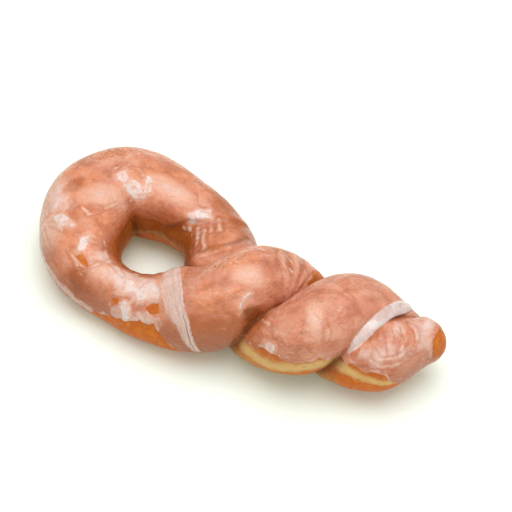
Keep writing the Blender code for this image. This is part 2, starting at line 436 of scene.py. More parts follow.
class Finish:
    """One material: masks and noises over the surface, and the colours that they lay over one another."""

    def __init__(self, name, values):
        """A new material, with what is the same all over set on its shader."""
        self.material = bpy.data.materials.new(name)
        self.material.use_nodes = True
        self.tree = self.material.node_tree
        self.shader = self.tree.nodes["Principled BSDF"]
        for socket, value in values.items():
            self.shader.inputs[socket].default_value = value

    def feed(self, socket, value):
        self.tree.links.new(value, self.shader.inputs[socket])

    def attribute(self, name):
        """The output of a float attribute of the mesh."""
        return node(self.tree, "ShaderNodeAttribute", attribute_name=name).outputs["Fac"]

    def place(self):
        """The object's own coordinates."""
        return node(self.tree, "ShaderNodeTexCoord").outputs["Object"]

    def part_of(self, vector, axis):
        """One coordinate of a vector."""
        return node(self.tree, "ShaderNodeSeparateXYZ", {0: vector}).outputs[axis]

    def noise(self, size, detail=3, at=None):
        """Noise with features of that size in mm, over the object's coordinates, or over those given."""
        place = at or self.place()
        inputs = {"Vector": place, "Scale": 1 / (size * MM), "Detail": detail, "Roughness": 0.55}
        return node(self.tree, "ShaderNodeTexNoise", inputs).outputs["Fac"]

    def step(self, value, start, end, last=1, first=0):
        """A smooth step, first where the value is at start and last where it is at end."""
        inputs = {"Value": value, "From Min": start, "From Max": end, "To Min": first, "To Max": last}
        made = node(self.tree, "ShaderNodeMapRange", inputs, interpolation_type="SMOOTHSTEP")
        return made.outputs["Result"]

    def maths(self, operation, first, second=0):
        """Two values put together by a maths node."""
        return node(self.tree, "ShaderNodeMath", {0: first, 1: second}, operation=operation).outputs[0]

    def times(self, first, second):
        return self.maths("MULTIPLY", first, second)

    def plus(self, first, second):
        return self.maths("ADD", first, second)

    def off(self, value, level):
        """How far a value is from a level, either way."""
        return self.maths("ABSOLUTE", self.maths("SUBTRACT", value, level))

    def mixed(self, share, low, high):
        """One colour laid over another by a share from 0 to 1."""
        made = node(self.tree, "ShaderNodeMix", data_type="RGBA")
        for socket, value in ((0, share), (6, low), (7, high)):
            if isinstance(value, bpy.types.NodeSocket):
                self.tree.links.new(value, made.inputs[socket])
            else:
                made.inputs[socket].default_value = (*value, 1)
        return made.outputs[2]

    def layered(self, base, *layers):
        """Colours laid over a base one after another, each by its share."""
        for share, colour in layers:
            base = self.mixed(share, base, colour)
        return base

    def bump(self, height, strength, depth):
        """Relief of that depth in mm, which tilts the shader's normals."""
        inputs = {"Height": height, "Strength": strength, "Distance": depth * MM}
        self.feed("Normal", node(self.tree, "ShaderNodeBump", inputs).outputs["Normal"])


# Crust colours: brown on top, orange lower down, golden underneath, and the pale line where the dough floated
CRUST_BROWN = (0.50, 0.120, 0.018)
CRUST_ORANGE = (0.56, 0.118, 0.003)
CRUST_LIGHT = (0.72, 0.26, 0.030)
# Dark crust, used for small dark spots and for painted shade in the creases and on the hole's inner wall
CRUST_SPOTS_AND_SHADE = (0.17, 0.038, 0.005)
WATERLINE = (0.66, 0.42, 0.16)
CRUST_GOLDEN = (0.50, 0.19, 0.036)


def crust_material():
    """Browns by height and in blotches, the pale line over them, then painted shade in creases and small dark
    spots.
    """
    crust = Finish("fried_crust", {
        "Roughness": 0.38,
        "Specular IOR Level": 0.10,
        "Subsurface Weight": 0.12,
        "Subsurface Radius": (1, 0.4, 0.15),
        "Subsurface Scale": 0.002,
    })
    rise = crust.plus(crust.part_of(crust.place(), 2), crust.times(crust.noise(9), 6 * MM))
    patchy = crust.noise(3.6, 4)
    line = crust.plus(crust.attribute("waterline"), crust.times(crust.noise(2.8, 4), 1.3))
    bake = crust.layered(
        crust.mixed(crust.step(rise, 23 * MM, 18 * MM), CRUST_BROWN, CRUST_ORANGE),
        (crust.attribute("under"), CRUST_GOLDEN),
        (crust.step(patchy, 0.52, 0.66, 0.55), CRUST_BROWN),
        (crust.step(patchy, 0.46, 0.34, 0.30), CRUST_LIGHT),
        (crust.step(line, 0.55, 1.75, 0.92), WATERLINE),
        # Painted shade in the creases and on the hole's inner wall
        (crust.attribute("crust_shade"), CRUST_SPOTS_AND_SHADE),
        (crust.step(crust.noise(2.6), 0.58, 0.74, 0.35), CRUST_SPOTS_AND_SHADE),
    )
    crust.feed("Base Color", bake)
    crust.bump(patchy, 0.6, 0.6)
    return crust.material


def from_stretch(points, start, end):
    """Each point's distance from a straight stretch, the way there, and the nearest place's share of it."""
    run = end - start
    share = np.clip((points - start) @ run / (run @ run), 0, 1)
    away = points - start - share[:, None] * run
    return np.linalg.norm(away, axis=1), away, share


def to_lines(points, lines):
    """The distance from each point to the nearest of several lines in space."""
    nearest = np.full(len(points), np.inf)
    for line in lines:
        for start, end in zip(np.array(line[:-1]), np.array(line[1:])):
            nearest = np.minimum(nearest, from_stretch(points, start, end)[0])
    return nearest


# The pale line where the dough floated: its height and half-width along x
WATERLINE_X = (0, 22, 37, 46, 56, 62, 70, 80, 85)
WATERLINE_Z = (20, 19, 19, 21, 23.5, 21.5, 20.5, 18.5, 18)
WATERLINE_HALF = (5, 5.2, 5, 5, 4.6, 3.4, 3, 2.6, 2.2)
# On the far side the line lies lower, just under the edge of the glaze
FAR_LINE_Z = 12
FAR_LINE_HALF = 3.6
# The golden stripe along the inner wall of the loop, where the dough stretched
WALL_STRIPE = ((-54, 5, 11), (-52.4, 6.4, 12.3), (-45.7, 7, 15.5), (-39.3, 7.3, 15.5), (-34.8, 7.1, 12.4),
               (-31, 5.5, 9))
line_height = np.interp(x, WATERLINE_X, WATERLINE_Z)
line_height += 1.2 * lattice_noise(points, 15, 11)
line_height -= 5 * inner_wall
line_half = np.interp(x, WATERLINE_X, WATERLINE_HALF)
far_band = ease(normals[:, 1], 0, 0.5) * (1 - inner_wall)
line_height += far_band * (FAR_LINE_Z + 1.5 * lattice_noise(points, 15, 12) - line_height)
line_half += far_band * (FAR_LINE_HALF - line_half)
near_line = ease(x, 12, 24) * ease(-x, -90, -84)
line_strength = np.maximum(near_line, ease(y, -12, 5))
line_strength *= 1 - 0.75 * inner_wall
waterline = line_strength * (1 - ease(np.abs(z - line_height) / line_half, 0.1, 1.1))
waterline = np.maximum(waterline, 0.75 * ease(-to_lines(points, (WALL_STRIPE,)), -2, -0.4))
# Painted shade on the crust: darker along the creases and on the hole's inner wall
crust_shade = np.maximum(0.9 * np.exp(-((gap / 3.4) ** 2)), 0.55 * inner_wall * ease(z, 11, 17))
dough = mesh_piece("cruller_dough", points, faces, dict(
    waterline=waterline,
    under=ease(-z, -17, -13) * ease(x, 5, 18) * ease(-x, -66, -58),
    crust_shade=crust_shade,
))
dough.data.materials.append(crust_material())
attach(dough, "root")
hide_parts("cruller")

# The sugar glaze
# A thin coat of icing sugar and water, poured over the hot doughnut: a pinkish film that ends in a ragged
# edge part way down the sides, with thick white flakes, a pool in the last crease and rubbed bare spots.
FILM_THICKNESS = 0.26
# How far the film sinks into the crust where it has no cover, and how deep its inner skin lies
SUNK = 0.45
INNER_SKIN = 0.8
# How far the flakes, sugar, clouds, smear, pool, pleats and rim stand out, and the far crease's depth
FLAKE_RISE = 0.20
MILKY_RISE = 0.12
CLOUD_RISE = 0.08
SMEAR_RISE = 0.22
POOL_RISE = 0.35
PLEAT_RISE = 0.20
RIM_RISE = 0.14
CREASE_DIP = 0.3
# Where the film ends on the near side: x along the doughnut and the height of its edge
NEAR_EDGE_X = (-96, -79, -68, -58, -49, -38, -30, -22, -15, -10, -4, 5, 15, 20,
               26, 32, 37, 43, 48, 55, 60, 66, 73, 81, 85, 89, 96)
NEAR_EDGE_Z = (15, 14.5, 11.5, 9, 9, 13.5, 16.5, 19.5, 20, 15.5, 9, 7, 11, 21,
               23, 25, 25.5, 24.5, 25, 27, 24, 24, 24, 22.5, 17, 6, 3)
HOLE_EDGE_X = (-60, -55.5, -53.5, -41, -33, -20)
HOLE_EDGE_Z = (5, 8, 21.5, 21.5, 22, 22.5)
FAR_EDGE_Z = 16
# White flakes, where thick glaze has cracked into plates: the outline of each in plan
WHITE_FLAKES = (
    ((-67, 16.5), (-64.6, 20.8), (-61.4, 18.3), (-56, 17), (-50.5, 12.6), (-53.5, 11), (-56.4, 11.6),
     (-61, 13.4), (-64, 15)),
    ((-53.7, 21.6), (-51, 21), (-49.2, 15.6), (-50.5, 13), (-52.6, 17)),
    ((-82, -15), (-77, -14.6), (-71.6, -15.9), (-68.4, -17), (-70.1, -18.8), (-73.2, -18.4), (-74.4, -20),
     (-77, -18.8)),
    ((-60, -17.8), (-59.6, -25.5), (-61.6, -28), (-62.4, -22), (-61.6, -19.2)),
    ((-28.6, 12.6), (-26.3, 15.6), (-21, 19.5), (-17.8, 15), (-20.6, 13.8), (-23, 12.6), (-27.2, 11)),
    ((-35.6, -31), (-32.4, -30.6), (-29.6, -33), (-27.4, -36.4), (-30.4, -35.6), (-34, -36.8)),
    ((-33.6, -40.6), (-30.4, -40.2), (-27.4, -43.4), (-28, -45.4), (-30.6, -45.4), (-32, -43)),
    ((-27.8, -35.2), (-27.2, -31.2), (-23.4, -29.3), (-19.3, -32), (-18, -36), (-22, -37.2), (-25.8, -38.2)),
    ((32, -38.4), (34, -38.6), (36.8, -40), (36.4, -41.4), (33.6, -40.6)),
    ((18.6, -32.6), (19.4, -29), (21, -26), (19.6, -26.2), (18, -29.6)),
)
# Pinkish bands and streaks of half-set sugar beside the flakes: outlines in plan, as above
MILKY_PATCHES = (
    ((-91, 2), (-86, 3.5), (-79, -6), (-77, -12.6), (-85, -14.6)),
    ((-46, -27), (-38, -26), (-27, -27), (-18, -28), (-17, -38), (-25, -41), (-36, -39.5),
     (-43, -33)),
    ((-38, -41.5), (-30, -41), (-16, -42), (-12, -44), (-12, -48), (-36, -48)),
    # These two streaks down the far arm are partly half-set sugar, partly a painted highlight on its glossy
    # lumps
    ((-27.5, 9.5), (-25.5, 10), (-23.5, 3.5), (-25.5, 2.5)),
    ((-22.8, 10), (-21.2, 10.3), (-18.6, 3), (-20.2, 2.5)),
    ((-58, -24), (-51, -22), (-46, -24), (-50, -27), (-55, -28.5)),
    ((83, -6), (86, 3), (92, 3), (92.5, -6), (94, -12), (90, -15), (87, -12)),
    ((68, -29), (72, -24), (78, -22), (84, -18), (88, -16), (84, -25), (76, -29)),
    ((75, -14), (78, -10), (83, -12), (82, -17), (77, -18)),
)
# The cream-coloured band just above the film's edge at the lower left of the loop
CREAM_BAND = ((-90, -18, 16), (-82, -27, 17), (-72, -34, 17), (-63, -38.5, 14.5), (-57, -40.5, 11.5),
              (-50, -41.5, 10.5))
# Pale clouds, milky but not white, and partly a painted highlight: middle, half-length, half-width, heading
PALE_CLOUDS_AND_HIGHLIGHTS = (
    ((-66, 4, 32), 13, 8, 30),
    ((-86, -6, 27), 16, 11, -60),
    ((-42, 20.5, 30), 16, 6, -8),
    ((16.8, -20.5, 43), 9, 6, 10),
    ((49, -27.5, 39), 9, 4.5, -60),
    ((-44, -31, 25.5), 12, 6, 0),
    ((-80, -20, 27), 13, 8, -45),
)
# Thin places, where the brown of the crust shows through the film
THIN_PLACES = (
    ((-81, 3, 32.5), 8, 5, 60),
    ((-53, -39.5, 19), 9, 6, -10),
    ((12, -43, 20), 26, 15, 0),
    ((24, -33, 30), 7, 6, 50),
    ((-6, 22, 24), 17, 12, -30),
    ((-50, -16, 24), 8, 5, 60),
    ((-36, 9, 23), 14, 4, 0),
    ((76, -6, 30), 6, 4, 60),
    ((72, -19, 31), 4.5, 3, 60),
    ((58, -2, 31), 8, 9, 0),
    ((-12, 6, 22), 9, 12, 30),
    ((-16, 27, 25), 13, 9, -20),
    ((-57, -36, 21), 9, 6, -20),
)
# Grainy places, where the sugar set in small grains
GRAINY_PLACES = (
    ((4, -16, 38), 14, 9, 10),
    ((-52, 0, 27), 9, 12, 30),
    ((-74, 30, 30), 22, 9, 30),
    ((-30, -25, 26), 14, 6, 0),
    ((57, -22, 35), 7, 5, 60),
    ((-84, -20, 20), 10, 12, -50),
)
# Crack lines, where plates of the film parted or were pushed into a fold: points along each
CRACK_LINES = (
    ((-66.5, -5.5, 32.5), (-62.5, -2, 31), (-59.5, 4, 29), (-56, 10.5, 27.5), (-50.5, 13, 28.5)),
    ((-70.5, -7, 33), (-66, -9.5, 32), (-63, -6, 31.5)),
    ((-60, -18.5, 29.5), (-55.5, -17, 27.5), (-53, -18.5, 26)),
    ((-80, -19, 28.5), (-76, -19.5, 30), (-72.5, -21, 30)),
    ((-94, 3, 25.5), (-90.5, -5.5, 26.5), (-84, -14.5, 28)),
    ((-77, 31, 31.5), (-69, 29, 33), (-68.5, 31.5, 32.5)),
    ((-69, 20, 33.5), (-66, 24, 33.5), (-59, 23.5, 33), (-56, 22, 32.5)),
    ((-43.5, 7.5, 20), (-40, 8, 20.5), (-33.5, 9, 22), (-30, 12, 26)),
    ((-21, 13.5, 27), (-14, 15, 27.5), (-9.5, 19, 26)),
    ((-31.5, 8.5, 22), (-29.5, 6, 17.5), (-23, -0.5, 18)),
    ((-19.5, 10.5, 26.5), (-15, 2, 27.5), (-11, -7, 29)),
    ((-57, -32.5, 26), (-53.5, -31.5, 26), (-51, -29, 26.5)),
    ((-72, -34, 17), (-63, -38.5, 14.5), (-57, -40.5, 11), (-50, -41, 10.5)),
    ((-12, -8.5, 28.8), (-7, -5.6, 30.8), (-2.5, -2.4, 31), (0.6, 0.6, 31)),
    ((16.5, 1, 38), (24.5, 0, 38), (31, -4.5, 35.5), (33.5, -8.5, 33)),
    ((13, -4, 41), (21, -4, 40.5), (28.5, -6, 37.5), (31.5, -10, 35)),
    ((26.5, 3.5, 35), (32, -1, 34), (35, -6, 32.5)),
    ((26.5, -28.5, 30), (31.5, -32.5, 32), (40.5, -38.5, 31.5)),
    ((53, -27, 39.5), (55.5, -29, 37), (55, -32, 34.5)),
    ((39.5, -20, 38.5), (48, -14.5, 41.5), (59, -13, 41)),
    ((74, -25.5, 29.5), (77.5, -27, 28), (81.5, -24.5, 28), (85, -20, 29)),
    ((74, -28.5, 27.5), (79, -28.5, 26), (84.5, -25, 25.5), (87, -20.5, 26.5)),
    ((75.5, -18, 32), (78.5, -15.5, 32), (83.5, -16.5, 31), (83.5, -20, 29.5)),
    ((81, -8, 31), (85, -8.5, 30.5), (87.5, -12.5, 29.5)),
    ((-83, -21, 24.5), (-78.5, -26, 24), (-73, -29.5, 24.5)),
    ((-65, -28, 28), (-60, -32, 26.5), (-55, -35.5, 24)),
    ((-48, -26, 26), (-43.5, -26.5, 25), (-38.5, -30, 25.5)),
)
# Pleats of the film down the inner side of the far arm
PLEAT_LINES = (
    ((-31.5, 7.5, 20), (-30.2, 6, 16.9), (-29.1, 5, 13.1)),
    ((-28.9, 8.6, 22.8), (-26.2, 4.9, 19.7)),
    ((-26.2, 8.7, 23.9), (-22.7, 2.7, 21.6)),
    ((-22.3, 9, 25.4), (-17.2, -1.1, 25.9)),
    ((-20.7, 11.2, 26.5), (-11.9, -4.2, 28.9)),
    ((-18.1, 13.1, 27.2), (-14.8, 7.5, 27.6)),
    ((-14.7, 15.2, 27.3), (-11, 8.7, 28.2)),
)
# The crease where the far arm passes behind the first turn, with brown shade painted along it
FAR_CREASE = ((-19.5, -8.5, 21), (-14.6, -6.4, 26.5), (-10.7, -4.2, 29.2), (-6, -0.6, 30.4),
              (-3.5, 1.4, 30.2), (-1.8, 4, 29.4), (-0.6, 8, 27.8), (0, 12, 25.6))
# Where a crease's painted shade is stronger, its darkest pit of painted shade, and a brown hollow in the film
DARK_CREASES = (
    ((25, -33, 30), 9, 8),
    ((-14, 0, 20), 15, 11),
)
DARK_PIT = ((23.5, -30.5, 33), 7, 3.6, 45)
BROWN_HOLLOW = ((-56.5, -38, 19), 10, 7, -20)
# Rubbed spots where the crust shows: outlines in plan
BARE_SPOTS = (
    ((-61, -29.6), (-59, -28.4), (-54.4, -30.8), (-54.2, -32.2), (-57.2, -31.8)),
    ((-21.6, -40.5), (-19.5, -38.2), (-16.8, -38.1), (-15.2, -40.8), (-18, -42)),
    ((-38.2, -40), (-35, -39.6), (-34.6, -41.2), (-36.8, -41.8)),
    ((36.5, -6), (37.5, -2), (35.5, 2), (38, 6), (45, 4), (44, -4), (40, -8)),
    ((5, 11), (11, 13), (10, 18), (4, 17)),
)
BARE_NUB = ((92.4, 1.4), (93.4, -3), (93, -8), (94.6, -10.6), (100, -14), (101, 2), (95.4, 3.4))
# The pool of thick glaze in the crease between the last two turns: its outline in plan
POOL = ((74.6, 5.5), (71.6, -3), (68, -13.8), (65.8, -20.5), (64.2, -26), (64.8, -28.4), (67, -27),
        (69, -23.6), (70.8, -20), (72.4, -12.8), (74.8, -4.3), (79, 3), (78, 8))
# The streaky smear across the near arm ends in a crisp line: points on it, and the smear's width at each
SMEAR_LINE = ((-17, -17.5, 29), (-11, -27, 32.5), (-5, -36.6, 34), (0.8, -42.7, 29.4), (3.4, -44.5, 20.4),
              (5, -43, 13))
SMEAR_WIDTH = (7, 8.5, 9, 6.5, 4.5, 3)


def signed_distance(points, outline):
    """How far each point lies inside an outline in plan, from its nearest side; negative outside it."""
    corners = np.array(outline)
    nearest = np.full(len(points), np.inf)
    inside = np.zeros(len(points), bool)
    for start, end in zip(corners, np.roll(corners, -1, axis=0)):
        nearest = np.minimum(nearest, from_stretch(points[:, :2], start, end)[0])
        run, away = end - start, points[:, :2] - start
        crossed = (start[1] > points[:, 1]) != (end[1] > points[:, 1])
        inside ^= crossed & (away[:, 0] * abs(run[1]) < away[:, 1] * run[0] * np.sign(run[1]))
    return np.where(inside, nearest, -nearest)


def deepest(points, outlines):
    """The largest signed distance of several outlines, on the upper sides of the strands alone."""
    inside = np.max([signed_distance(points, one) for one in outlines], axis=0)
    return inside - 9 * ease(-points[:, 2], -17, -11)


def before_line(points, line, widths):
    """The distance to a line's nearest stretch, positive on its left, and the width that goes with it."""
    line = np.array(line)
    nearest = np.full(len(points), np.inf)
    side = np.zeros(len(points))
    width = np.zeros(len(points))
    for i in range(len(line) - 1):
        distance, away, share = from_stretch(points, line[i], line[i + 1])
        closer = distance < nearest
        side = np.where(closer, -np.sign(away[:, 0]), side)
        width = np.where(closer, widths[i] + share * (widths[i + 1] - widths[i]), width)
        nearest = np.where(closer, distance, nearest)
    return side * nearest, width


ragged = 1.3 * lattice_noise(points, 5.5, 21) + 1.1 * lattice_noise(points, 2.3, 22)
near_edge = np.interp(x, NEAR_EDGE_X, NEAR_EDGE_Z)
far_side = ease(normals[:, 1], -0.25, 0.25)
edge_height = near_edge + (FAR_EDGE_Z + 2.5 * lattice_noise(points, 17, 23) - near_edge) * far_side
edge_height += (np.interp(x, HOLE_EDGE_X, HOLE_EDGE_Z) - edge_height) * inner_wall
above_edge = z - edge_height + ragged
torn = 0.7 * lattice_noise(points, 3.2, 28) + 0.4 * lattice_noise(points, 1.6, 29)
white = deepest(points, WHITE_FLAKES) + torn
milky = deepest(points, MILKY_PATCHES) + 2 * torn
milky = np.maximum(milky, 4.6 - 2 * to_lines(points, (CREAM_BAND,)) + torn)
# Pale clouds: partly milky glaze, partly a painted highlight where the soft light reflects
clouds_and_highlights = highest(points, PALE_CLOUDS_AND_HIGHLIGHTS)
# Thin places, plus painted shade on sides that face down or to the far side, and near the creases
thin_and_shade = highest(points, THIN_PLACES) + 0.8 * ease(-normals[:, 2], -0.70, 0.10)
thin_and_shade += 0.6 * ease(normals[:, 1], 0.3, 0.8)
thin_and_shade += 0.5 * np.exp(-((gap / 6.5) ** 2))
# Painted shade at the crease's darkest pit, and a fainter brown hollow
pit = np.maximum(spot(points, *DARK_PIT), 0.42 * spot(points, *BROWN_HOLLOW))
bare_nub = signed_distance(points, BARE_NUB) - 9 * ease(-z, -21, -17)
bare = np.maximum(deepest(points, BARE_SPOTS), bare_nub) + 0.5 * torn
pool = deepest(points, (POOL,)) + 0.4 * torn
strayed = np.column_stack([0.9 * lattice_noise(points, 2.8, seed) for seed in (31, 32, 33)])
to_crack = to_lines(points + strayed, CRACK_LINES) + 0.5 * ease(lattice_noise(points, 4.5, 34), 0, 0.5)
to_pleat = to_lines(points + 0.6 * strayed, PLEAT_LINES)
across_smear, smear_width = before_line(points, SMEAR_LINE, SMEAR_WIDTH)
on_near_arm = ease(-y, 13, 18) * ease(z, 9, 13)
smear = on_near_arm * ease(across_smear, -1.4, 0.9) * (1 - ease(across_smear / smear_width, 0.6, 1.35))

soft_normals = unit(settled(normals, pairs, 14))
fillet = np.maximum(np.sum((settled(points, pairs, 8) - points) * soft_normals, axis=1), 0)
deep_fill = np.maximum(np.sum((settled(points, pairs, 60) - points) * soft_normals, axis=1), 0)
in_pool = ease(pool, -1.8, 0.4)
height = FILM_THICKNESS + 0.10 * lattice_noise(points, 9, 26) + 0.06 * lattice_noise(points, 2.6, 27)
height += (
    FLAKE_RISE * ease(white, -0.8, 0.9)
    + MILKY_RISE * ease(milky, -1, 1)
    + CLOUD_RISE * ease(clouds_and_highlights, 0, 0.6)
)
streak_place = np.column_stack((across_smear, 0.12 * z, 0 * place))
height += smear * (SMEAR_RISE + 0.12 * lattice_noise(streak_place, 1, 30))
height += POOL_RISE * ease(pool, -0.4, 0.8) + PLEAT_RISE * ease(-to_pleat, -1.2, -0.2)
height -= CREASE_DIP * np.exp(-((to_lines(points, (FAR_CREASE,)) / 1.2) ** 2))
height += RIM_RISE * (1 - inner_wall) * ease(above_edge, 0.1, 0.7) * (1 - ease(above_edge, 0.9, 2.2))
cover = ease(above_edge, -0.55, 0.45) * (1 - ease(bare, -0.25, 0.35))
height = height * cover - SUNK * (1 - cover)
lift = np.where(height > 0, fillet * (1 - in_pool) * 0.35 + deep_fill * in_pool, 0)
outer = points + normals * height[:, None] + soft_normals * lift[:, None]
outer[:, 2] = np.maximum(outer[:, 2], 0.05)


def coat(outer, under, faces, height, attributes):
    """A closed thin skin: the outer faces that reach the surface, the same inside, and a wall at the rim."""
    kept = faces[np.any(height[faces] > -0.9 * SUNK, axis=1)]
    used = np.unique(kept)
    renumber = np.zeros(len(outer), int)
    renumber[used] = np.arange(len(used))
    top = renumber[kept]
    walls = np.stack((top, np.roll(top, -1, axis=1)), axis=-1).reshape(-1, 2)
    _, where, counts = np.unique(np.sort(walls, axis=1), axis=0, return_index=True, return_counts=True)
    rim = walls[where[counts == 1]]
    wall = np.column_stack((rim[:, 1], rim[:, 0], rim[:, 0] + len(used), rim[:, 1] + len(used)))
    closed = np.vstack((top, top[:, ::-1] + len(used), wall))
    both = {name: np.tile(values[used], 2) for name, values in attributes.items()}
    return np.vstack((outer[used], under[used])), closed, both


# Painted shade on the lower sides, stronger under the first turn
lower_shade_boost = 1 + 0.4 * ease(-x, -30, -20) * ease(x, -5, 5)
# Distance to the far crease, along which brown shade is painted
far_crease = to_lines(points + 0.3 * strayed, (FAR_CREASE,))
glaze = mesh_piece("sugar_glaze", *coat(outer, points - normals * INNER_SKIN, faces, height, dict(
    # The thin places carry painted shade too, and the clouds are partly a painted highlight
    white=white, milky=milky, pool=pool, smear=smear, across_smear=across_smear, cloud_and_highlight=clouds_and_highlights, thin_and_shade=thin_and_shade,
    # The pit is painted shade
    pit=pit, to_crack=to_crack, to_pleat=to_pleat, ridge=ridge, along=place,
    round_side=STRAND_RADIUS * np.cos(turn),
    round_up=STRAND_RADIUS * np.sin(turn),
    split=ease(x, -4.5, -2) * ease(-across_smear, -6, -4) * on_near_arm,
    # Painted shade along the far crease
    far_crease=np.exp(-((far_crease / 1.5) ** 2)),
    grainy=highest(points, GRAINY_PLACES),
    # Painted shade along the creases, stronger where they are deepest
    crease=crease * (1 - in_pool) * (0.62 + 0.5 * ease(highest(points, DARK_CREASES), 0, 0.5)),
    edge=above_edge + 4 * inner_wall + 3 * crease,
    # Painted shade on the lower sides
    lower_shade=ease(-z, -30, -16) * lower_shade_boost,
    # Painted shade on the inner wall of the hole
    inner=inner_wall * ease(-z, -30, -22),
)))

# Glaze colours, from the thin film over brown crust to the thick white sugar
FILM_ROSE = (0.60, 0.235, 0.145)
FILM_ORANGE = (0.68, 0.245, 0.120)
# The dark film colour also paints shade on the lower sides and in the ripple troughs
FILM_DARK_AND_SHADE = (0.37, 0.108, 0.043)
# The thin film colour also paints shade: on down- and far-facing sides, near creases and between the pleats
FILM_THIN_AND_SHADE = (0.41, 0.106, 0.027)
# The pale film colour also paints highlights on the ripple crests and in the clouds
FILM_PALE_AND_HIGHLIGHT = (0.72, 0.395, 0.275)
MILK_PINK = (0.70, 0.47, 0.39)
SUGAR_WHITE = (0.73, 0.60, 0.555)
# Painted shade on the hole's inner wall
WALL_SHADE_BROWN = (0.34, 0.080, 0.016)
# Painted shade in the creases, at the pit and along the far crease; also the split line's brown
CREASE_SHADE_BROWN = (0.21, 0.050, 0.010)
SMEAR_CREAM = (0.72, 0.54, 0.47)
SPECK_YELLOW = (0.86, 0.60, 0.40)
CRACK_CREAM = (0.78, 0.52, 0.40)
# The film's plates: how many to a metre, and the noise that bends their edges, with its reach in metres
PLATES = 170
PLATE_WARP = 330
WARP_REACH = 0.0032


def on_strand(glaze, along_scale):
    """Coordinates on the straightened strand in metres: the way along it, scaled, and round its section."""
    scales = {"X": ("along", along_scale), "Y": ("round_side", 1), "Z": ("round_up", 1)}
    parts = {axis: glaze.times(glaze.attribute(name), scale * MM) for axis, (name, scale) in scales.items()}
    return node(glaze.tree, "ShaderNodeCombineXYZ", parts).outputs[0]


